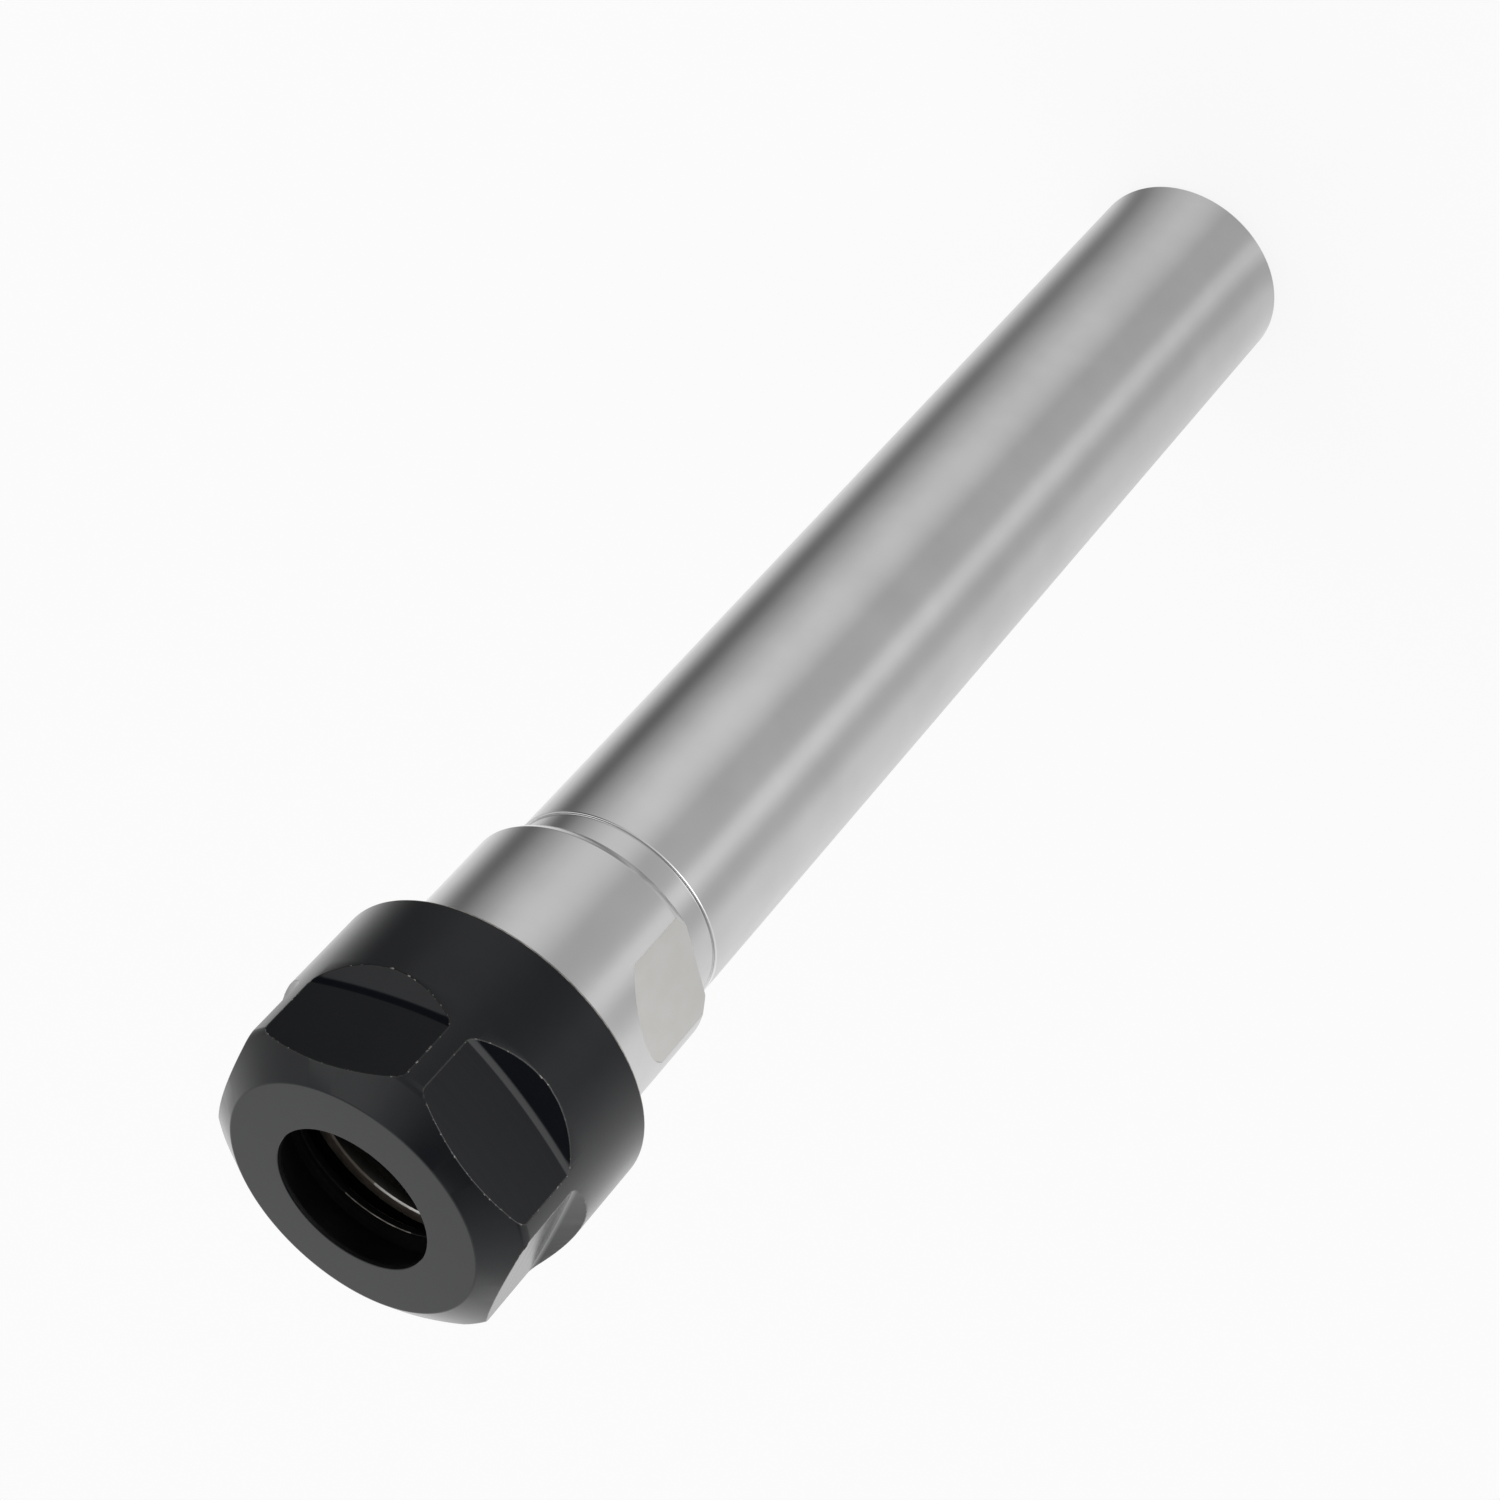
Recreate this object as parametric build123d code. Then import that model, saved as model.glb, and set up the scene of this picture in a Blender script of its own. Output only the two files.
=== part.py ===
from build123d import *
import math
import os

# A straight-shank collet chuck holder: a ground steel body and the hexagon nut that clamps its collet.
# Sizes are millimetres. +Z runs along the axis, from the shank's rear end to the nut's face.
# The origin is the centre of the rear end face, and +X is square to the collar's wrench flats.

# Shank, held by the machine
shank_diameter = 19.05
shank_length = 100.0
shank_end_chamfer = 0.6

# Bore through the body, open at the rear
bore_diameter = 10.5
bore_end_chamfer = 0.8

# Neck, turned just under the ground shank
neck_diameter = 18.65
neck_length = 3.1
neck_corner_chamfer = 0.3

# Collar, with two wrench flats that an end mill has cut from its rear
collar_diameter = 22.0
collar_length = 15.1
collar_rear_chamfer = 0.5
collar_rear_chamfer_angle = 30.0
collar_front_chamfer = 0.4
wrench_size = 19.8
wrench_flat_length = 9.0
wrench_cutter_diameter = 12.0

# Screw thread of the spigot and the nut, 22 mm by 1.5 mm, both plain at the thread's pitch diameter
thread_diameter = 22.0
thread_pitch = 1.5
thread_clearance = 0.1

# Spigot, which carries the nut and opens into the collet seat
spigot_length = 9.2
spigot_groove_width = 1.4
spigot_groove_depth = 1.05
spigot_end_chamfer = 1.4

# Collet seat, a cone that narrows until it meets the bore
seat_mouth_diameter = 16.0
seat_mouth_chamfer = 0.35
seat_half_angle = 8.0

# Clamping nut, outside
nut_diameter = 28.0
nut_length = 17.5
nut_face_diameter = 21.6
nut_nose_length = 2.5
nut_rear_chamfer = 0.2
nut_size = 25.0
nut_edge_round = 0.15
nut_flat_count = 6
nut_flat_length = 8.55
nut_flat_shoulder_angle = 45.0
nut_flat_cutter_radius = 50.0
nut_flat_foot_round = 0.6

# Clamping nut, inside: land, 30 degree cone, pocket, off-centre extraction lip, undercut and skirt
nut_hole_diameter = 13.2
nut_land_length = 0.4
nut_cone_half_angle = 30.0
nut_cone_length = 3.4
nut_pocket_length = 0.7
lip_diameter = 16.0
lip_thickness = 0.6
lip_offset = 0.5
lip_direction = 83.0
undercut_diameter = 22.4
undercut_length = 1.9
skirt_length = 1.8
skirt_clearance = 0.3

# Where the nut stands on the spigot: how far it can still be screwed in, and how far it is turned
nut_travel_left = 0.6
nut_rest_angle = 26.4

collar_rear_z = shank_length + neck_length
collar_front_z = collar_rear_z + collar_length
spigot_face_z = collar_front_z + spigot_length
nut_rear_z = collar_front_z + nut_travel_left - skirt_length
nut_face_z = nut_rear_z + nut_length

thread_crest_radius = thread_diameter / 2
thread_pitch_radius = thread_crest_radius - 3 * math.sqrt(3) / 16 * thread_pitch
spigot_radius = thread_pitch_radius - thread_clearance / 2
nut_bore_radius = thread_pitch_radius + thread_clearance / 2
nut_thread_start_z = nut_rear_z + skirt_length


def turned(points):
    """A solid of revolution about Z from an outline of (radius, height) points."""
    outline = Polyline(*[(radius, 0, height) for radius, height in points], close=True)
    return revolve(make_face(outline), Axis.Z)


def wrench_flat_cut(side):
    """The path of an end mill that cuts one wrench flat from the collar's rear."""
    radius = wrench_cutter_diameter / 2
    centre_z = collar_rear_z + wrench_flat_length - radius
    entry_z = collar_rear_z - neck_length / 2
    face = Plane(origin=(side * wrench_size / 2, 0, 0), x_dir=(0, side, 0), z_dir=(side, 0, 0))
    run = Pos(0, (centre_z + entry_z) / 2) * Rectangle(wrench_cutter_diameter, centre_z - entry_z)
    path = Pos(0, centre_z) * Circle(radius) + run
    return extrude(face * path, amount=collar_diameter / 2)


def chuck_body():
    """Shank, neck, collar and spigot, with the bore and the collet seat, in one piece of steel."""
    shank_radius = shank_diameter / 2
    neck_radius = neck_diameter / 2
    collar_radius = collar_diameter / 2
    shoulder = shank_radius - neck_radius
    rear_chamfer_run = collar_rear_chamfer / math.tan(math.radians(collar_rear_chamfer_angle))
    groove_radius = thread_crest_radius - spigot_groove_depth
    spigot_end_radius = thread_crest_radius - spigot_end_chamfer
    outside = turned([
        (0, 0),
        (shank_radius - shank_end_chamfer, 0),
        (shank_radius, shank_end_chamfer),
        (shank_radius, shank_length),
        (neck_radius, shank_length + shoulder),
        (neck_radius, collar_rear_z - neck_corner_chamfer),
        (neck_radius + neck_corner_chamfer, collar_rear_z),
        (collar_radius - collar_rear_chamfer, collar_rear_z),
        (collar_radius, collar_rear_z + rear_chamfer_run),
        (collar_radius, collar_front_z - collar_front_chamfer),
        (collar_radius - collar_front_chamfer, collar_front_z),
        (groove_radius, collar_front_z),
        (groove_radius, collar_front_z + spigot_groove_width),
        (spigot_radius, collar_front_z + spigot_groove_width),
        (spigot_radius, spigot_face_z - spigot_radius + spigot_end_radius),
        (spigot_end_radius, spigot_face_z),
        (0, spigot_face_z),
    ])

    bore_radius = bore_diameter / 2
    seat_radius = seat_mouth_diameter / 2
    seat_depth = (seat_radius - bore_radius) / math.tan(math.radians(seat_half_angle))
    mouth_depth = seat_mouth_chamfer - seat_mouth_chamfer * math.tan(math.radians(seat_half_angle))
    mouth_radius = seat_radius - mouth_depth * math.tan(math.radians(seat_half_angle))
    inside = turned([
        (0, 0),
        (bore_radius + bore_end_chamfer, 0),
        (bore_radius, bore_end_chamfer),
        (bore_radius, spigot_face_z - seat_depth),
        (mouth_radius, spigot_face_z - mouth_depth),
        (seat_radius + seat_mouth_chamfer, spigot_face_z),
        (0, spigot_face_z),
    ])
    flats = [wrench_flat_cut(side) for side in (1, -1)]
    return outside - inside - flats


def nut_flat_cut(turn):
    """The sweep of a large milling cutter, with a sloping rim, that leaves one flat of the hexagon."""
    height = (nut_diameter - nut_size) / 2 + nut_nose_length
    rim_run = height * math.tan(math.radians(90 - nut_flat_shoulder_angle))
    outline = Polyline(
        (0, 0),
        (nut_flat_cutter_radius, 0),
        (nut_flat_cutter_radius + rim_run, height),
        (0, height),
        close=True,
    )
    profile = make_face(outline)
    foot = profile.vertices().filter_by(
        lambda corner: corner.Y == 0 and corner.X > 0)
    profile = fillet(foot, nut_flat_foot_round)
    cutter = revolve(Plane.XZ * profile, Axis.Z)
    angle = math.radians(turn * 360 / nut_flat_count)
    normal = Vector(math.cos(angle), math.sin(angle), 0)
    centre = normal * (nut_size / 2) + Vector(0, 0, nut_face_z - nut_flat_length + nut_flat_cutter_radius)
    return Plane(origin=centre, x_dir=(0, 0, 1), z_dir=normal) * cutter


def nut_cavity():
    """Everything that is cut out of the nut around its axis, from the skirt to the hole in its face."""
    hole_radius = nut_hole_diameter / 2
    cone_end_z = nut_face_z - nut_land_length - nut_cone_length
    cone_radius = hole_radius + nut_cone_length * math.tan(math.radians(nut_cone_half_angle))
    lip_front_z = cone_end_z - nut_pocket_length
    lip_rear_z = lip_front_z - lip_thickness
    undercut_start_z = lip_rear_z - undercut_length
    skirt_radius = collar_diameter / 2 + skirt_clearance
    undercut_radius = undercut_diameter / 2
    lead = skirt_radius - nut_bore_radius
    rear = turned([
        (0, nut_rear_z),
        (skirt_radius, nut_rear_z),
        (skirt_radius, nut_thread_start_z - lead / 2),
        (nut_bore_radius, nut_thread_start_z + lead / 2),
        (nut_bore_radius, undercut_start_z),
        (undercut_radius, undercut_start_z),
        (undercut_radius, lip_rear_z),
        (0, lip_rear_z),
    ])
    front = turned([
        (0, lip_front_z),
        (cone_radius, lip_front_z),
        (cone_radius, cone_end_z),
        (hole_radius, nut_face_z - nut_land_length),
        (hole_radius, nut_face_z),
        (0, nut_face_z),
    ])
    direction = math.radians(lip_direction)
    lip_place = Pos(lip_offset * math.cos(direction), lip_offset * math.sin(direction), lip_rear_z)
    lip_hole = lip_place * extrude(Circle(lip_diameter / 2), amount=lip_thickness)
    return [rear, front, lip_hole]


def rounded_edges(nut):
    """The hexagon's outer edges: on the nut's full diameter, around its nose and around its face."""
    radius = nut_diameter / 2
    shoulder_run = (radius - nut_size / 2) / math.tan(math.radians(nut_flat_shoulder_angle))
    shoulder_z = nut_face_z - nut_flat_length - shoulder_run

    def is_on_diameter(edge):
        points = [edge.position_at(place) for place in (0, 0.25, 0.5, 1)]
        return all(abs(math.hypot(point.X, point.Y) - radius) < nut_edge_round / 2 for point in points)

    rim = nut.edges().filter_by(is_on_diameter).filter_by(
        lambda edge: edge.center().Z > shoulder_z - nut_edge_round)
    nose = nut.edges().filter_by(GeomType.HYPERBOLA)
    face = nut.edges().filter_by(lambda edge: edge.center().Z > nut_face_z - nut_edge_round / 2)
    return rim + nose + face


def clamping_nut():
    """The hexagon nut: turned nose and rear, six milled flats, and the cavity that holds the collet."""
    radius = nut_diameter / 2
    blank = turned([
        (0, nut_rear_z),
        (radius - nut_rear_chamfer, nut_rear_z),
        (radius, nut_rear_z + nut_rear_chamfer),
        (radius, nut_face_z - nut_nose_length),
        (nut_face_diameter / 2, nut_face_z),
        (0, nut_face_z),
    ])
    hexagon = blank - [nut_flat_cut(turn) for turn in range(nut_flat_count)]
    nut = fillet(rounded_edges(hexagon), nut_edge_round) - nut_cavity()
    return Rot(0, 0, nut_rest_angle) * nut


parts = {
    "chuck_body": chuck_body(),
    "clamping_nut": clamping_nut(),
}
os.makedirs("parts", exist_ok=True)
for name, solid in parts.items():
    export_step(solid, f"parts/{name}.step")

nut_travel_off = spigot_face_z - spigot_end_chamfer / 2 - nut_thread_start_z
degrees_per_mm = 360 / thread_pitch
print("nut turns in", round(-nut_travel_left * degrees_per_mm), "and off", round(nut_travel_off * degrees_per_mm))
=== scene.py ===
import math
import bpy
import bmesh
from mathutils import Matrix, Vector


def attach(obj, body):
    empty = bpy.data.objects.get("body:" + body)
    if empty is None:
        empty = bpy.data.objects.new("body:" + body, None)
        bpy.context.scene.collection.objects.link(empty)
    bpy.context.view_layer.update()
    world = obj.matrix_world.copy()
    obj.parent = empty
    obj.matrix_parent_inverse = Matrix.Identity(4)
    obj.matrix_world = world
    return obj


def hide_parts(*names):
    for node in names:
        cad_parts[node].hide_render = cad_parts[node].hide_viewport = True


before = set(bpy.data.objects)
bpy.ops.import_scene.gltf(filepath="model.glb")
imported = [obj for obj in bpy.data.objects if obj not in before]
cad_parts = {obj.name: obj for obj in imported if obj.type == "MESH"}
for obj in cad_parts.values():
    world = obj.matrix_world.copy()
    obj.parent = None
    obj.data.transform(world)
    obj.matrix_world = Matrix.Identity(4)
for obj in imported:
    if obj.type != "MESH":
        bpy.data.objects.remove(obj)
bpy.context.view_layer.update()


# The chuck's body. One bar of alloy steel: a straight shank, a neck, a collar with two wrench flats and the
# threaded spigot, bored through. It is turned, milled, hardened and ground, and everything else sits on it.
MM = 0.001
STEPS_ROUND = 288
SHANK_R = 9.525
SHANK_END_CHAMFER = 0.6
NECK_R = 9.325
COLLAR_R = 11.0
COLLAR_REAR_Z = 103.1
COLLAR_FRONT_Z = 118.2
SPIGOT_FACE_Z = 127.4
GROOVE_R = 9.95
THREAD_PITCH = 1.5
FIRST_CREST_Z = 120.2
HALF_CREST = 0.094
SPIGOT_CREST_R = 10.95
SPIGOT_ROOT_R = 10.03
BORE_R = 5.25
BORE_CHAMFER = 0.8
SEAT_R = 8.44
MOUTH_R = 8.58
MOUTH_Z = 127.28
WRENCH_FLAT_X = 9.9
WRENCH_FLAT_END_Z = 112.1
END_MILL_R = 6.0


def select_none():
    if bpy.context.object and bpy.context.object.mode == 'EDIT':
        bpy.ops.object.mode_set(mode='OBJECT')
    bpy.ops.object.select_all(action='DESELECT')


def turn_on_lathe(name, outline, off_centre=None):
    """Turns a closed outline of (radius, height) corners, in mm, one ring of vertices after the other."""
    off_centre = off_centre or {}
    select_none()
    radius, height = outline[0]
    centre = (0.0, 0.0)
    bpy.ops.mesh.primitive_circle_add(
        vertices=STEPS_ROUND, radius=radius * MM, fill_type='NOTHING', location=(0, 0, height * MM))
    piece = bpy.context.object
    piece.name = name
    bpy.ops.object.transform_apply(location=True, rotation=True, scale=True)
    bpy.ops.object.mode_set(mode='EDIT')
    bpy.ops.mesh.select_all(action='SELECT')
    for corner, (next_radius, next_height) in enumerate(outline[1:] + outline[:1], 1):
        next_centre = off_centre.get(corner, (0.0, 0.0))
        step = (next_centre[0] - centre[0], next_centre[1] - centre[1], next_height - height)
        bpy.ops.mesh.extrude_region_move(TRANSFORM_OT_translate={"value": [size * MM for size in step]})
        middle = (next_centre[0] * MM, next_centre[1] * MM, next_height * MM)
        widen = next_radius / radius
        bpy.ops.transform.resize(value=(widen, widen, 1), center_override=middle)
        radius, height, centre = next_radius, next_height, next_centre
    bpy.ops.mesh.select_all(action='SELECT')
    bpy.ops.mesh.remove_doubles(threshold=0.002 * MM)
    bpy.ops.mesh.normals_make_consistent(inside=False)
    bpy.ops.object.mode_set(mode='OBJECT')
    return piece


def round_edges(piece, width, steps, belongs, finish=-1, clamp=True):
    """Rounds the outer edges whose middle, in mm, passes the test, and may give them a finish of the piece."""
    select_none()
    bpy.context.view_layer.objects.active = piece
    piece.select_set(True)
    bpy.ops.object.mode_set(mode='EDIT')
    bpy.ops.mesh.select_mode(type='EDGE')
    bpy.ops.mesh.select_all(action='DESELECT')
    mesh = bmesh.from_edit_mesh(piece.data)
    for edge in mesh.edges:
        if edge.is_manifold and edge.is_convex and edge.calc_face_angle() > math.radians(20):
            middle = (edge.verts[0].co + edge.verts[1].co) / 2 / MM
            edge.select = belongs(middle, edge)
    bmesh.update_edit_mesh(piece.data)
    bpy.ops.mesh.bevel(
        offset=width * MM, segments=steps, affect='EDGES', clamp_overlap=clamp, material=finish)
    bpy.ops.object.mode_set(mode='OBJECT')


def cut_away(piece, cutter):
    """Takes the cutter's shape out of the piece and throws the cutter away."""
    select_none()
    bpy.context.view_layer.objects.active = piece
    cut = piece.modifiers.new("cut", 'BOOLEAN')
    cut.operation = 'DIFFERENCE'
    cut.solver = 'EXACT'
    cut.object = cutter
    bpy.ops.object.modifier_apply(modifier="cut")
    bpy.data.objects.remove(cutter)
    # The solver leaves its points and faces in another order each run, so they are sorted by their place along
    # an odd slant, where no two of them tie
    slant = Vector((1.0, 0.6180340, 0.3247180))
    mesh = bmesh.new()
    mesh.from_mesh(piece.data)
    mesh.verts.sort(key=lambda point: point.co.dot(slant))
    mesh.edges.sort(key=lambda edge: (edge.verts[0].co + edge.verts[1].co).dot(slant))
    mesh.faces.sort(key=lambda face: face.calc_center_median().dot(slant))
    mesh.to_mesh(piece.data)
    mesh.free()


def join_close_points(piece, distance):
    """Joins points that a cut has left closer together than a distance in mm."""
    select_none()
    bpy.context.view_layer.objects.active = piece
    piece.select_set(True)
    bpy.ops.object.mode_set(mode='EDIT')
    bpy.ops.mesh.select_all(action='SELECT')
    bpy.ops.mesh.remove_doubles(threshold=distance * MM)
    bpy.ops.object.mode_set(mode='OBJECT')


def finish_surface(piece):
    """Shades curved faces smooth and keeps flat faces flat right up to their edges."""
    select_none()
    bpy.context.view_layer.objects.active = piece
    piece.select_set(True)
    bpy.ops.object.shade_smooth_by_angle(angle=math.radians(20))
    weigh = piece.modifiers.new("weigh", 'WEIGHTED_NORMAL')
    weigh.mode = 'FACE_AREA'
    weigh.keep_sharp = True
    bpy.ops.object.modifier_apply(modifier="weigh")


# Along the outside from the rear end: shank, shoulder and neck, collar, groove behind the thread
body_outline = [
    (SHANK_R - SHANK_END_CHAMFER, 0), (SHANK_R, SHANK_END_CHAMFER), (SHANK_R, 20), (SHANK_R, 40),
    (SHANK_R, 60), (SHANK_R, 80), (SHANK_R, 100),
    (9.44, 100.085), (9.345, 100.1), (NECK_R, 100.12), (NECK_R, 102.8), (NECK_R + 0.3, COLLAR_REAR_Z),
    (10.5, COLLAR_REAR_Z), (COLLAR_R, 103.966), (COLLAR_R, 110), (COLLAR_R, 117.8), (10.6, COLLAR_FRONT_Z),
    (GROOVE_R, COLLAR_FRONT_Z), (GROOVE_R, 119.55), (SPIGOT_ROOT_R, 119.575),
]
for ridge in range(4):
    crest_z = FIRST_CREST_Z + ridge * THREAD_PITCH
    body_outline += [
        (SPIGOT_CREST_R, crest_z - HALF_CREST), (SPIGOT_CREST_R, crest_z + HALF_CREST),
        (SPIGOT_ROOT_R, crest_z + 0.625), (SPIGOT_ROOT_R, crest_z + 0.875)]
# The last, cut-off ridge and the spigot's end, then back inside: mouth, seat, bore and its rear chamfer
body_outline += [
    (10.915, 126.085), (10.37, 126.63), (SPIGOT_ROOT_R, 126.825), (SPIGOT_ROOT_R, 126.97),
    (9.6, SPIGOT_FACE_Z), (MOUTH_R, SPIGOT_FACE_Z), (SEAT_R, MOUTH_Z), (7.789, 125.9), (BORE_R, 107.833),
    (BORE_R, 80), (BORE_R, 50), (BORE_R, 25), (BORE_R, BORE_CHAMFER), (BORE_R + BORE_CHAMFER, 0),
]
body = turn_on_lathe("body_of_steel", body_outline)


def is_turned_corner(middle, edge):
    """The corners of the shank, the neck and the collar, but not the thread's ridges."""
    return abs(edge.verts[0].co.z - edge.verts[1].co.z) < 1e-7 and middle.z < COLLAR_FRONT_Z + 0.8


round_edges(body, 0.08, 3, is_turned_corner)

# Each wrench flat is the path of an end mill that comes in over the neck and stops in the collar
mill_centre_z = WRENCH_FLAT_END_Z - END_MILL_R
mill_start_z = 101.55
for side in (1, -1):
    select_none()
    bpy.ops.mesh.primitive_circle_add(
        vertices=160, radius=END_MILL_R * MM, fill_type='NOTHING',
        location=(side * WRENCH_FLAT_X * MM, 0, mill_centre_z * MM), rotation=(0, math.radians(90), 0))
    mill_path = bpy.context.object
    bpy.ops.object.transform_apply(location=True, rotation=True, scale=True)
    bpy.ops.object.mode_set(mode='EDIT')
    bpy.ops.mesh.select_mode(type='VERT')
    bpy.ops.mesh.select_all(action='DESELECT')
    points = bmesh.from_edit_mesh(mill_path.data)
    for point in points.verts:
        point.select = point.co.z < (mill_centre_z - 0.01) * MM
    bmesh.update_edit_mesh(mill_path.data)
    bpy.ops.transform.resize(value=(1, 1, 0), center_override=(0, 0, mill_start_z * MM))
    bpy.ops.mesh.select_all(action='SELECT')
    bpy.ops.mesh.edge_face_add()
    bpy.ops.mesh.extrude_region_move(TRANSFORM_OT_translate={"value": (side * 3 * MM, 0, 0)})
    bpy.ops.mesh.select_all(action='SELECT')
    bpy.ops.mesh.normals_make_consistent(inside=False)
    bpy.ops.object.mode_set(mode='OBJECT')
    cut_away(body, mill_path)


def is_wrench_flat_edge(middle, edge):
    """The edges round both flats on the collar."""
    is_on_flat = abs(middle.x) > WRENCH_FLAT_X - 0.05 and abs(middle.y) < END_MILL_R + 0.02
    lowest = min(point.co.z for point in edge.verts) / MM
    return is_on_flat and middle.z < WRENCH_FLAT_END_Z + 0.1 and lowest > COLLAR_REAR_Z - 0.1


round_edges(body, 0.05, 2, is_wrench_flat_edge)
finish_surface(body)


def linear_colour(hex_code):
    """An sRGB hex colour as linear red, green, blue and alpha."""
    parts = [int(hex_code[place:place + 2], 16) / 255 for place in (1, 3, 5)]
    return [part / 12.92 if part <= 0.04045 else ((part + 0.055) / 1.055) ** 2.4 for part in parts] + [1]


def add_node(tree, kind, inputs=None, **settings):
    """Adds a node with its settings. Each input takes a socket to link from, or a plain value."""
    node = tree.nodes.new(kind)
    for setting, value in settings.items():
        setattr(node, setting, value)
    for place, source in (inputs or {}).items():
        if isinstance(source, bpy.types.NodeSocket):
            tree.links.new(source, node.inputs[place])
        else:
            node.inputs[place].default_value = source
    return node


def new_material(name):
    """An empty material and its surface shader."""
    material = bpy.data.materials.new(name)
    material.use_nodes = True
    shader = material.node_tree.nodes["Principled BSDF"]
    return material, material.node_tree, shader


def lathe_rings(tree, spacing):
    """Rings round the axis, as a turning tool or a grinding wheel leaves them, on cylinders and end faces."""
    place = add_node(tree, 'ShaderNodeTexCoord').outputs["Object"]
    parts = add_node(tree, 'ShaderNodeSeparateXYZ', {0: place})
    flat_place = add_node(tree, 'ShaderNodeCombineXYZ', {0: parts.outputs[0], 1: parts.outputs[1]})
    across = add_node(tree, 'ShaderNodeVectorMath', {0: flat_place.outputs[0]}, operation='LENGTH')
    along = add_node(
        tree, 'ShaderNodeMath', {0: parts.outputs[2], 1: across.outputs["Value"]}, operation='SUBTRACT')
    rings = add_node(
        tree, 'ShaderNodeTexNoise', {"W": along.outputs[0], "Scale": 1 / (spacing * MM), "Detail": 3.0},
        noise_dimensions='1D')
    return rings.outputs[0]


def patches(tree, size):
    """Soft uneven patches of about one size in mm, from handling, oil and heat."""
    place = add_node(tree, 'ShaderNodeTexCoord').outputs["Object"]
    noise = add_node(tree, 'ShaderNodeTexNoise', {"Vector": place, "Scale": 1 / (size * MM), "Detail": 4.0})
    return noise.outputs[0]


def finish_metal(tree, shader, uneven, colours, grain=None, roughness=None, depth=0, over=(0.35, 0.65)):
    """Blends two colours where an uneven pattern passes over a range. Where the metal has a grain, it gives
    the roughness and a relief of a depth in micrometres."""
    first, second = [linear_colour(colour) for colour in colours]
    share = add_node(tree, 'ShaderNodeMapRange', {0: uneven, "From Min": over[0], "From Max": over[1]})
    blend = add_node(tree, 'ShaderNodeMix', {0: share.outputs[0], 6: first, 7: second}, data_type='RGBA')
    tree.links.new(blend.outputs[2], shader.inputs["Base Color"])
    if grain:
        low, high = roughness
        rough = add_node(tree, 'ShaderNodeMapRange', {
            0: grain, "From Min": 0.35, "From Max": 0.65, "To Min": low, "To Max": high})
        tree.links.new(rough.outputs[0], shader.inputs["Roughness"])
    if depth:
        bump = add_node(
            tree, 'ShaderNodeBump', {"Height": grain, "Distance": depth * 0.001 * MM, "Strength": 1.0})
        tree.links.new(bump.outputs[0], shader.inputs["Normal"])


# Hardened alloy steel, ground round the axis after turning: a bright neutral metal with a soft mirror. The wheel
# leaves rings finer than the eye can part, so they are drawn 0.15 mm apart, and the oil a faint uneven haze.
ground_steel, tree, shader = new_material("ground_alloy_steel")
shader.inputs["Metallic"].default_value = 1.0
finish_metal(tree, shader, patches(tree, 6.0), ("#BDBDBD", "#C2C2C2"), lathe_rings(tree, 0.15), (0.14, 0.18), 1.0)

# The same steel where an end mill has cut it and no wheel has touched it: duller, a little warmer, and crossed by
# the arcs of the mill's teeth, drawn 0.2 mm apart.
milled_steel, tree, shader = new_material("milled_alloy_steel")
shader.inputs["Metallic"].default_value = 1.0
place = add_node(tree, 'ShaderNodeTexCoord').outputs["Object"]
parts = add_node(tree, 'ShaderNodeSeparateXYZ', {0: place})
across = add_node(tree, 'ShaderNodeMath', {0: parts.outputs[1], 1: END_MILL_R * MM}, operation='DIVIDE')
sideways = add_node(tree, 'ShaderNodeMath', {0: across.outputs[0]}, operation='ARCSINE')
ahead = add_node(tree, 'ShaderNodeMath', {0: sideways.outputs[0]}, operation='COSINE')
tooth_arc = add_node(
    tree, 'ShaderNodeMath', {0: ahead.outputs[0], 1: -END_MILL_R * MM, 2: parts.outputs[2]},
    operation='MULTIPLY_ADD')
tooth_arcs = add_node(
    tree, 'ShaderNodeTexNoise', {"W": tooth_arc.outputs[0], "Scale": 1 / (0.2 * MM), "Detail": 2.0},
    noise_dimensions='1D')
finish_metal(
    tree, shader, patches(tree, 2.0), ("#B6B5B2", "#B9B8B6"), tooth_arcs.outputs[0], (0.29, 0.32), 0.4)

# The same steel as it came from turning and hardening: dull, browned by the quenching oil, and ringed by the
# turning tool every 0.12 mm.
turned_steel, tree, shader = new_material("turned_alloy_steel")
shader.inputs["Metallic"].default_value = 0.4
shader.inputs["Specular IOR Level"].default_value = 0.3
finish_metal(tree, shader, patches(tree, 1.5), ("#8F857B", "#A89C90"), lathe_rings(tree, 0.12), (0.42, 0.55), 1.5)

# A painted highlight on the spigot's mouth: bright, smoother steel along one side, which shines, and the dull
# turned steel on the rest.
painted_highlight_steel, tree, shader = new_material("painted_highlight_alloy_steel")
shader.inputs["Metallic"].default_value = 1.0
shader.inputs["Roughness"].default_value = 0.3
finish_metal(tree, shader, patches(tree, 0.6), ("#C9C7C2", "#E0DEDA"))

# The bore and the seat are painted darker than the rest of the steel, a painted shade, so that the hole looks
# deep. Honing rings are drawn 0.2 mm apart.
shaded_bore_steel, tree, shader = new_material("bore_steel_painted_shade")
shader.inputs["Metallic"].default_value = 1.0
finish_metal(tree, shader, patches(tree, 4.0), ("#4C4B49", "#5C5B58"), lathe_rings(tree, 0.2), (0.26, 0.34), 1.0)

for finish in (ground_steel, milled_steel, turned_steel, painted_highlight_steel, shaded_bore_steel):
    body.data.materials.append(finish)
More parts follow.
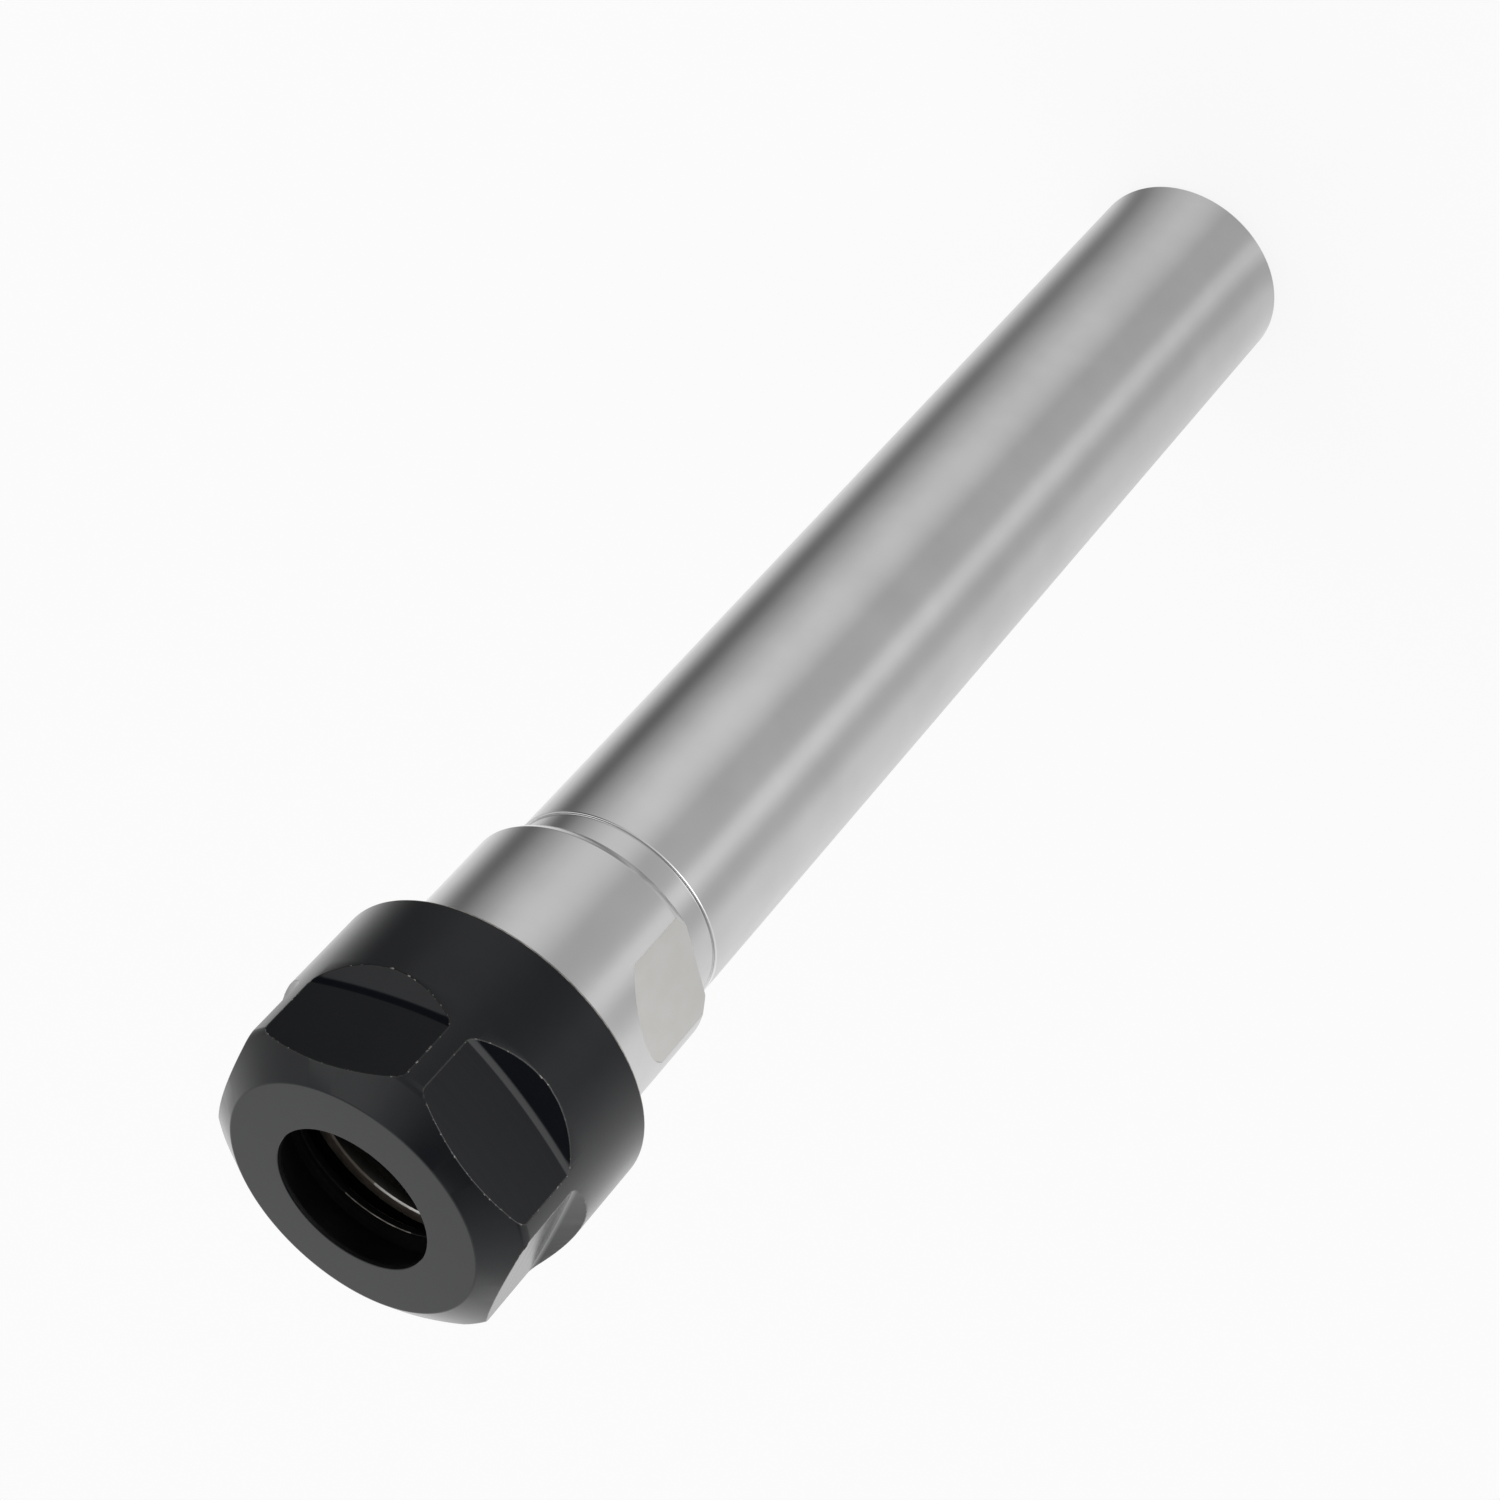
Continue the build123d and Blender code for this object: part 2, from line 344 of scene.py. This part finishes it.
# Every face starts in slot 0, with the ground steel
MILLED, TURNED, PAINTED_HIGHLIGHT, SHADED_BORE = range(1, 5)
# The mouth's painted highlight lies between these angles round the axis, in degrees
PAINTED_HIGHLIGHT_SIDE = (-129.5, -100)
for face in body.data.polygons:
    middle = face.center / MM
    across = math.hypot(middle.x, middle.y)
    side = math.degrees(math.atan2(middle.y, middle.x))
    is_on_flat = across > WRENCH_FLAT_X - 0.02 and abs(middle.x) < WRENCH_FLAT_X + 0.1 and abs(face.normal.x) > 0.9
    if is_on_flat and COLLAR_REAR_Z - 0.1 < middle.z < WRENCH_FLAT_END_Z + 0.9:
        face.material_index = MILLED
    # Painted shade: the faces of the bore and the seat that look at the axis take the darkened steel
    faces_axis = middle.x * face.normal.x + middle.y * face.normal.y < 0
    if faces_axis and across < SEAT_R - 0.04 and middle.z > BORE_CHAMFER:
        face.material_index = SHADED_BORE
    if across > SEAT_R - 0.14 and middle.z > COLLAR_FRONT_Z - 0.3:
        face.material_index = TURNED
    # The mouth takes the painted highlight on one side only
    is_mouth = across < MOUTH_R and middle.z > MOUTH_Z and face.normal.z < 0.9
    if is_mouth and PAINTED_HIGHLIGHT_SIDE[0] < side < PAINTED_HIGHLIGHT_SIDE[1]:
        face.material_index = PAINTED_HIGHLIGHT
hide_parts("chuck_body")
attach(body, "chuck_body")


# The clamping nut. One hexagon nut of hardened steel, black-oxided: a turned nose, six milled flats, and inside
# it the cone that presses on the collet, the off-centre lip that pulls the collet out, and the thread.
NUT_R = 14.0
NUT_REAR_Z = 117.0
NUT_FACE_Z = 134.5
NOSE_END_Z = 132.31
NUT_FLAT_DISTANCE = 12.5
NUT_REST_ANGLE = 26.4
NUT_CREST_R = 10.188
NUT_ROOT_R = 11.0
SKIRT_R = 11.3
UNDERCUT_R = 11.2
HOLE_R = 6.6
LIP_R = 8.0
LIP_REAR_Z = 129.4
LIP_FRONT_Z = 130.0
POCKET_R = 8.563
POCKET_FRONT_Z = 130.7
LIP_AND_POCKET_R = 8.8
LIP_OFFSET = 0.5
LIP_DIRECTION = 83.0
FLAT_CUTTER_R = 50.0
FLAT_CUTTER_HEIGHT = 4
FLAT_FOOT_Z = 125.95
FLAT_FOOT_ROUND = 1.0

# Along the outside from the face: nose cone, full diameter, rear chamfer, then the skirt and the thread inside
nut_outline = [
    (10.87, NUT_FACE_Z), (NUT_R, NOSE_END_Z), (NUT_R, 124.4), (NUT_R, NUT_REAR_Z + 0.2),
    (NUT_R - 0.2, NUT_REAR_Z), (SKIRT_R, NUT_REAR_Z), (SKIRT_R, 118.43), (NUT_CREST_R, 119.542),
]
for groove in range(5):
    groove_z = FIRST_CREST_Z + groove * THREAD_PITCH
    nut_outline += [
        (NUT_CREST_R, groove_z - 0.5625), (NUT_ROOT_R, groove_z - HALF_CREST),
        (NUT_ROOT_R, groove_z + HALF_CREST), (NUT_CREST_R, groove_z + 0.5625)]
# The undercut, the off-centre lip, the pocket, the cone that presses on the collet, and the hole in the face
nut_outline += [(NUT_CREST_R, 127.5), (UNDERCUT_R, 127.5), (UNDERCUT_R, LIP_REAR_Z)]
lip_corner = len(nut_outline)
nut_outline += [
    (LIP_R, LIP_REAR_Z), (LIP_R, LIP_FRONT_Z), (POCKET_R, LIP_FRONT_Z), (POCKET_R, POCKET_FRONT_Z),
    (HOLE_R, 134.1), (HOLE_R, NUT_FACE_Z),
]
lip_centre = [LIP_OFFSET * way(math.radians(LIP_DIRECTION)) for way in (math.cos, math.sin)]
nut = turn_on_lathe("clamping_nut_of_steel", nut_outline, {lip_corner: lip_centre, lip_corner + 1: lip_centre})

# The slots of the nut's finishes are there before its edges are rounded, because the rounding fills one of them.
# Slot 0 is black oxide on turned steel, where every face starts
RUBBED_OXIDE, MILLED_OXIDE, INSIDE_OXIDE, BARE_STEEL_AND_GLINT = range(1, 5)
while len(nut.data.materials) <= BARE_STEEL_AND_GLINT:
    nut.data.materials.append(None)
round_edges(nut, 0.45, 5, lambda middle, edge: abs(middle.z - NOSE_END_Z) < 0.01)

# Each flat is cut by a large disc whose rim slopes at 45 degrees and has a rounded foot
for flat in range(6):
    select_none()
    bpy.ops.mesh.primitive_circle_add(vertices=480, radius=FLAT_CUTTER_R * MM, fill_type='NGON')
    cutter = bpy.context.object
    bpy.ops.object.mode_set(mode='EDIT')
    bpy.ops.mesh.select_all(action='SELECT')
    bpy.ops.mesh.extrude_region_move(TRANSFORM_OT_translate={"value": (0, 0, FLAT_CUTTER_HEIGHT * MM)})
    widen = (FLAT_CUTTER_R + FLAT_CUTTER_HEIGHT) / FLAT_CUTTER_R
    bpy.ops.transform.resize(value=(widen, widen, 1), center_override=(0, 0, FLAT_CUTTER_HEIGHT * MM))
    bpy.ops.mesh.select_mode(type='EDGE')
    bpy.ops.mesh.select_all(action='DESELECT')
    foot = bmesh.from_edit_mesh(cutter.data)
    for edge in foot.edges:
        edge.select = all(abs(point.co.z) < 1e-7 for point in edge.verts)
    bmesh.update_edit_mesh(cutter.data)
    bpy.ops.mesh.bevel(
        offset=FLAT_FOOT_ROUND * math.tan(math.radians(22.5)) * MM, segments=6, affect='EDGES')
    bpy.ops.mesh.select_all(action='SELECT')
    bpy.ops.mesh.normals_make_consistent(inside=False)
    bpy.ops.transform.rotate(value=math.radians(-90), orient_axis='Y', center_override=(0, 0, 0))
    bpy.ops.transform.translate(value=(NUT_FLAT_DISTANCE * MM, 0, (FLAT_FOOT_Z + FLAT_CUTTER_R) * MM))
    bpy.ops.transform.rotate(value=math.radians(60 * flat), orient_axis='Z', center_override=(0, 0, 0))
    bpy.ops.object.mode_set(mode='OBJECT')
    cut_away(nut, cutter)
join_close_points(nut, 0.08)


def is_outer_nut_edge(middle, edge):
    """The edges round the milled flats, and the rear rim."""
    is_on_hexagon = math.hypot(middle.x, middle.y) > SKIRT_R + 0.2 and middle.z > 123
    return is_on_hexagon or middle.z < NUT_REAR_Z + 0.25


def is_face_edge(middle, edge):
    """The edges round the nut's face and its hole."""
    return middle.z > NUT_FACE_Z - 0.05


def is_edge_inside(middle, edge):
    """The edges of the lip and the pocket in front of it."""
    return math.hypot(middle.x, middle.y) < LIP_AND_POCKET_R and 129 < middle.z < 131


round_edges(nut, 0.06, 3, is_outer_nut_edge, RUBBED_OXIDE, clamp=False)
round_edges(nut, 0.1, 3, is_face_edge)
round_edges(nut, 0.1, 3, is_edge_inside, RUBBED_OXIDE)

# The nut is turned as far as it stands in the photograph
select_none()
bpy.context.view_layer.objects.active = nut
nut.select_set(True)
bpy.ops.object.mode_set(mode='EDIT')
bpy.ops.mesh.select_all(action='SELECT')
bpy.ops.transform.rotate(value=math.radians(-NUT_REST_ANGLE), orient_axis='Z', center_override=(0, 0, 0))
bpy.ops.object.mode_set(mode='OBJECT')
finish_surface(nut)

# Black oxide on turned steel: nearly black, with a smooth satin sheen, and the turning tool's rings under the
# oxide, drawn 0.12 mm apart. The salt bath leaves the tone a little uneven.
black_oxide, tree, shader = new_material("black_oxide_on_turned_steel")
shader.inputs["Specular IOR Level"].default_value = 0.25
finish_metal(tree, shader, patches(tree, 3.0), ("#0B0D11", "#0E1013"), lathe_rings(tree, 0.12), (0.16, 0.2), 0.8)

# The same oxide on edges that hands and spanners have rubbed: mostly black, with specks where steel shows.
rubbed_oxide, tree, shader = new_material("rubbed_black_oxide")
shader.inputs["Specular IOR Level"].default_value = 0.32
finish_metal(
    tree, shader, patches(tree, 0.35), ("#161617", "#7E7B77"), patches(tree, 1.0), (0.22, 0.34),
    over=(0.6, 0.7))

# Black oxide on the milled flats: deeper and smoother, with the arcs of the large cutter, drawn 0.25 mm apart.
milled_oxide, tree, shader = new_material("black_oxide_on_milled_steel")
shader.inputs["Specular IOR Level"].default_value = 0.19
place = add_node(tree, 'ShaderNodeTexCoord').outputs["Object"]
parts = add_node(tree, 'ShaderNodeSeparateXYZ', {0: place})
up = add_node(
    tree, 'ShaderNodeMath', {0: parts.outputs[2], 1: (FLAT_FOOT_Z + FLAT_CUTTER_R) * MM}, operation='SUBTRACT')
from_cutter = add_node(
    tree, 'ShaderNodeCombineXYZ', {0: parts.outputs[0], 1: parts.outputs[1], 2: up.outputs[0]})
cutter_reach = add_node(tree, 'ShaderNodeVectorMath', {0: from_cutter.outputs[0]}, operation='LENGTH')
cutter_arcs = add_node(
    tree, 'ShaderNodeTexNoise', {"W": cutter_reach.outputs["Value"], "Scale": 1 / (0.25 * MM), "Detail": 2.0},
    noise_dimensions='1D')
finish_metal(
    tree, shader, patches(tree, 3.0), ("#05070C", "#07090E"), cutter_arcs.outputs[0], (0.14, 0.18), 0.6)

# Black oxide inside the nut, on steel that is only rough-turned: rougher, so that the hole stays dark.
inside_oxide, tree, shader = new_material("black_oxide_inside")
shader.inputs["Specular IOR Level"].default_value = 0.3
finish_metal(tree, shader, patches(tree, 2.0), ("#0B0B0B", "#0F0F0F"), lathe_rings(tree, 0.2), (0.36, 0.46), 1.5)

# Bare steel where the oxide is worn right off the nut's rear rim, and as a painted glint on one side of the
# lip's edges: dull metal, brighter in places.
worn_steel_and_glint, tree, shader = new_material("worn_steel_edge_and_painted_glint")
shader.inputs["Metallic"].default_value = 1.0
wear = patches(tree, 0.8)
finish_metal(tree, shader, wear, ("#787570", "#B2AEA8"), wear, (0.5, 0.35))

for slot, finish in enumerate((black_oxide, rubbed_oxide, milled_oxide, inside_oxide, worn_steel_and_glint)):
    nut.data.materials[slot] = finish
# The lip's edges take the bare steel as a painted glint between these angles round the axis, in degrees
GLINT_LIP_SIDE = (-138, -93)
for face in nut.data.polygons:
    middle = face.center / MM
    across = math.hypot(middle.x, middle.y)
    side = math.degrees(math.atan2(middle.y, middle.x))
    off_flat = (math.degrees(math.atan2(face.normal.y, face.normal.x)) - NUT_REST_ANGLE + 30) % 60 - 30
    is_level = abs(off_flat) < 0.5 and abs(face.normal.z) < 0.05
    is_flat = is_level and middle.dot(face.normal) < NUT_FLAT_DISTANCE + 0.05
    is_shoulder = face.normal.z > 0.03 and middle.z < 129
    is_rounded = face.material_index == RUBBED_OXIDE
    is_glinting_lip = is_rounded and across < LIP_AND_POCKET_R and GLINT_LIP_SIDE[0] < side < GLINT_LIP_SIDE[1]
    is_rear_rim = middle.z < NUT_REAR_Z + 0.3 and across > NUT_R - 0.3 and face.normal.z > -0.6
    if across > NUT_FLAT_DISTANCE - 0.1 and (is_flat or is_shoulder) and not is_rounded:
        face.material_index = MILLED_OXIDE
    if across < SKIRT_R + 0.05 and middle.z < NUT_FACE_Z - 0.15:
        face.material_index = INSIDE_OXIDE
    # Worn bare steel on the rubbed rear rim, and a painted glint on one side of the lip's edges
    if is_glinting_lip or is_rounded and is_rear_rim:
        face.material_index = BARE_STEEL_AND_GLINT
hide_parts("clamping_nut")
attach(nut, "clamping_nut")


# The floor and the light. A white floor under the shank's end and a studio all round, whose screens and windows
# light the object and give the steel its bands. The camera sees plain white floor and plain white studio, and a
# mirror reflection sees the floor's screens. The floor is lit as well, so it keeps the object's shadow.
CAMERA_SIDE = 47.1
BRIGHTEST = 4.0
PLAIN_WHITE = [1 / BRIGHTEST] * 3 + [1]
# How bright the studio is round the object, against the angle from the camera's own side in degrees: on the
# floor round the object, a little further out where the nut mirrors it, far out and level, and above. The floor's
# rings pass over into each other between two distances from the axis in m, and the walls' between two heights.
NEAR_TO_MIDDLE = (0.182, 0.190)
MIDDLE_TO_LEVEL = (0.20, 0.38)
LEVEL_TO_ABOVE = (0.30, 0.52)
studio_near = [
    (-180, 1.1), (-150, 0.90), (-138, 0.80), (-130, 0.60), (-122, 0.40), (-114, 0.23), (-106, 0.19),
    (-98, 0.28), (-90, 0.42), (-73, 0.68), (-65, 0.82), (-49, 0.99), (-41, 1.01), (-33, 0.99),
    (-25, 0.93), (-16, 0.80), (-8, 0.67), (8, 0.69), (20, 0.72), (25, 0.80), (33, 1.06), (41, 1.11), (49, 0.91),
    (57, 0.72), (66, 0.71), (73, 0.77), (82, 0.9), (90, 0.98), (122, 1.02), (146, 0.97), (162, 0.85), (180, 0.95),
]
studio_middle = [
    (-180, 1.05), (-163, 1.13), (-153, 1.25), (-139, 1.37), (-131, 1.1), (-123, 0.85), (-115, 0.58),
    (-107, 0.38), (-99, 0.27), (-91, 0.34), (-82, 0.40), (-74, 0.52), (-66, 0.73), (-58, 0.86), (-50, 0.92),
    (-37, 0.97), (-25, 0.89), (-17, 0.73), (-8, 0.60), (4, 0.52), (16, 0.60), (25, 0.73), (33, 0.87), (41, 0.89),
    (58, 0.90), (66, 1.08), (74, 1.19), (82, 1.33), (91, 1.48), (123, 1.57), (147, 1.3), (163, 0.92),
]
studio_level = [
    (-180, 1.0), (-160, 1.2), (-151, 1.2), (-142, 1.12), (-125, 0.8), (-105, 0.45), (-90, 0.15), (-65, 0.12),
    (-45, 0.5), (-20, 1.0), (0, 1.3), (16, 2.2), (28, 4.0), (46, 4.0), (58, 1.8), (75, 1.2), (105, 1.3),
    (140, 1.55), (150, 1.3), (160, 1.15), (180, 1.0),
]
studio_above = [
    (-180, 1.35), (-160, 1.1), (-133, 0.89), (-120, 0.92), (-110, 1.1), (-100, 1.5), (-85, 1.75), (-66, 1.4),
    (-38, 0.95), (-15, 0.68), (0, 0.54), (20, 0.4), (38, 0.3), (48, 0.18), (58, 0.22), (66, 0.28), (85, 0.36),
    (100, 0.62), (112, 0.9), (123, 1.1), (140, 1.17), (160, 1.2), (180, 1.35),
]


def share_round(tree, parts):
    """The angle round the object of a direction, or of a place on the floor, as a share of a turn that starts
    on the side away from the camera."""
    angle = add_node(tree, 'ShaderNodeMath', {0: parts.outputs["Y"], 1: parts.outputs["X"]}, operation='ARCTAN2')
    turned = add_node(
        tree, 'ShaderNodeMath', {0: angle.outputs[0], 1: -1 / math.tau, 2: CAMERA_SIDE / 360 + 1.5},
        operation='MULTIPLY_ADD')
    return add_node(tree, 'ShaderNodeMath', {0: turned.outputs[0]}, operation='FRACT').outputs[0]


def studio_ring(tree, share, levels):
    """The brightness all round at one height, as a share of the brightest."""
    ring = add_node(tree, 'ShaderNodeValToRGB', {0: share})
    ramp = ring.color_ramp
    while len(ramp.elements) < len(levels):
        ramp.elements.new(0.5)
    for stop, (degrees, level) in zip(ramp.elements, levels):
        stop.position = degrees / 360 + 0.5
    # The stops may change places while they move, so the colours come after the places
    for stop, (degrees, level) in zip(ramp.elements, levels):
        stop.color = [level / BRIGHTEST] * 3 + [1]
    return ring.outputs[0]


def pass_over(tree, place, bounds, first, second):
    """One brightness up to a distance or height, another from a further one on, and a smooth change between."""
    share = add_node(
        tree, 'ShaderNodeMapRange', {0: place, "From Min": bounds[0], "From Max": bounds[1]},
        interpolation_type='SMOOTHSTEP')
    return add_node(tree, 'ShaderNodeMix', {0: share.outputs[0], 6: first, 7: second}, data_type='RGBA').outputs[2]


select_none()
bpy.ops.mesh.primitive_plane_add(size=4, location=(0, 0, 0))
floor = bpy.context.object
floor.name = "floor"
floor_paint, tree, shader = new_material("white_floor_paint")
shader.inputs["Base Color"].default_value = (0.8, 0.8, 0.8, 1)
shader.inputs["Roughness"].default_value = 0.9
place = add_node(tree, 'ShaderNodeTexCoord').outputs["Object"]
parts = add_node(tree, 'ShaderNodeSeparateXYZ', {0: place})
away = add_node(tree, 'ShaderNodeVectorMath', {0: place}, operation='LENGTH').outputs["Value"]
# The shank mirrors the floor from its surface, not from its axis. The screens are drawn at the angle where they
# belong for that surface, which two rounds of the same correction find
straight = share_round(tree, parts)
reach = add_node(tree, 'ShaderNodeMath', {0: SHANK_R * MM, 1: away}, operation='DIVIDE')
share = straight
for correction in range(2):
    half_turn = add_node(tree, 'ShaderNodeMath', {0: share, 1: math.pi, 2: -math.pi / 2}, operation='MULTIPLY_ADD')
    sine = add_node(tree, 'ShaderNodeMath', {0: half_turn.outputs[0]}, operation='SINE')
    off_axis = add_node(tree, 'ShaderNodeMath', {0: sine.outputs[0], 1: reach.outputs[0]}, operation='MULTIPLY')
    swing = add_node(tree, 'ShaderNodeMath', {0: off_axis.outputs[0]}, operation='ARCSINE')
    swung = add_node(
        tree, 'ShaderNodeMath', {0: swing.outputs[0], 1: 1 / math.tau, 2: straight}, operation='MULTIPLY_ADD')
    share = swung.outputs[0]
near, middle, level = [
    studio_ring(tree, share, levels) for levels in (studio_near, studio_middle, studio_level)]
screens = pass_over(tree, away, NEAR_TO_MIDDLE, near, middle)
screens = pass_over(tree, away, MIDDLE_TO_LEVEL, screens, level)
# Close to the shank's foot the screens grow fainter and leave a mean grey
softer = add_node(
    tree, 'ShaderNodeMapRange', {0: away, "From Min": 0.015, "From Max": 0.115, "To Min": 0.3, "To Max": 0.0})
MEAN_GREY = [0.55 / BRIGHTEST] * 3 + [1]
faded = add_node(tree, 'ShaderNodeMix', {0: softer.outputs[0], 6: screens, 7: MEAN_GREY}, data_type='RGBA')
path = add_node(tree, 'ShaderNodeLightPath')
mirrored = add_node(
    tree, 'ShaderNodeMix', {0: path.outputs["Is Glossy Ray"], 6: PLAIN_WHITE, 7: faded.outputs[2]},
    data_type='RGBA')
glow = add_node(tree, 'ShaderNodeEmission', {0: mirrored.outputs[2], "Strength": BRIGHTEST})
# The camera sees mostly the even white, and the lit paint for the rest, which holds the shadow
EVEN_WHITE = 0.85
seen = add_node(
    tree, 'ShaderNodeMath', {0: path.outputs["Is Camera Ray"], 1: EVEN_WHITE, 2: path.outputs["Is Glossy Ray"]},
    operation='MULTIPLY_ADD')
glow_share = add_node(
    tree, 'ShaderNodeMath', {0: seen.outputs[0], 1: path.outputs["Is Transmission Ray"]}, operation='ADD',
    use_clamp=True)
mixed = add_node(tree, 'ShaderNodeMixShader', {0: glow_share.outputs[0], 1: shader.outputs[0], 2: glow.outputs[0]})
tree.links.new(mixed.outputs[0], tree.nodes["Material Output"].inputs["Surface"])
floor.data.materials.append(floor_paint)

world = bpy.data.worlds.new("studio")
bpy.context.scene.world = world
world.use_nodes = True
tree = world.node_tree
background = tree.nodes["Background"]
direction = add_node(tree, 'ShaderNodeTexCoord').outputs["Generated"]
parts = add_node(tree, 'ShaderNodeSeparateXYZ', {0: direction})
share = share_round(tree, parts)
level, above = [studio_ring(tree, share, levels) for levels in (studio_level, studio_above)]
screens = pass_over(tree, parts.outputs["Z"], LEVEL_TO_ABOVE, level, above)
path = add_node(tree, 'ShaderNodeLightPath')
seen = add_node(
    tree, 'ShaderNodeMix', {0: path.outputs["Is Camera Ray"], 6: screens, 7: PLAIN_WHITE}, data_type='RGBA')
tree.links.new(seen.outputs[2], background.inputs["Color"])
background.inputs["Strength"].default_value = BRIGHTEST

# One weak soft box, high up and 80 degrees round from the camera's side, adds light on the faces that look up
box_side = math.radians(CAMERA_SIDE + 80)
box_height = math.radians(57)
BOX_AWAY = 0.7
BOX_LIFT = 0.134
box_place = (
    BOX_AWAY * math.cos(box_side) * math.cos(box_height),
    BOX_AWAY * math.sin(box_side) * math.cos(box_height),
    BOX_AWAY * math.sin(box_height) + BOX_LIFT)
select_none()
bpy.ops.object.light_add(type='AREA', location=box_place)
soft_box = bpy.context.object
soft_box.name = "soft_box"
soft_box.data.shape = 'SQUARE'
soft_box.data.size = 0.4
soft_box.data.energy = 0.06
soft_box.rotation_euler = (math.radians(90) - box_height, 0, box_side + math.radians(90))

# The camera. It stands where the photograph was taken from, and the object's axis points down and to the left.
bpy.ops.object.camera_add(
    location=(0.157323, 0.169210, 0.264573),
    rotation=[math.radians(turn) for turn in (-42.7506, 31.4684, -13.5564)])
camera = bpy.context.object
camera.name = "camera"
camera.data.sensor_width = 36
camera.data.lens = 87.1715
camera.data.clip_start = 0.01
bpy.context.scene.camera = camera
bpy.context.scene.view_settings.view_transform = 'Standard'
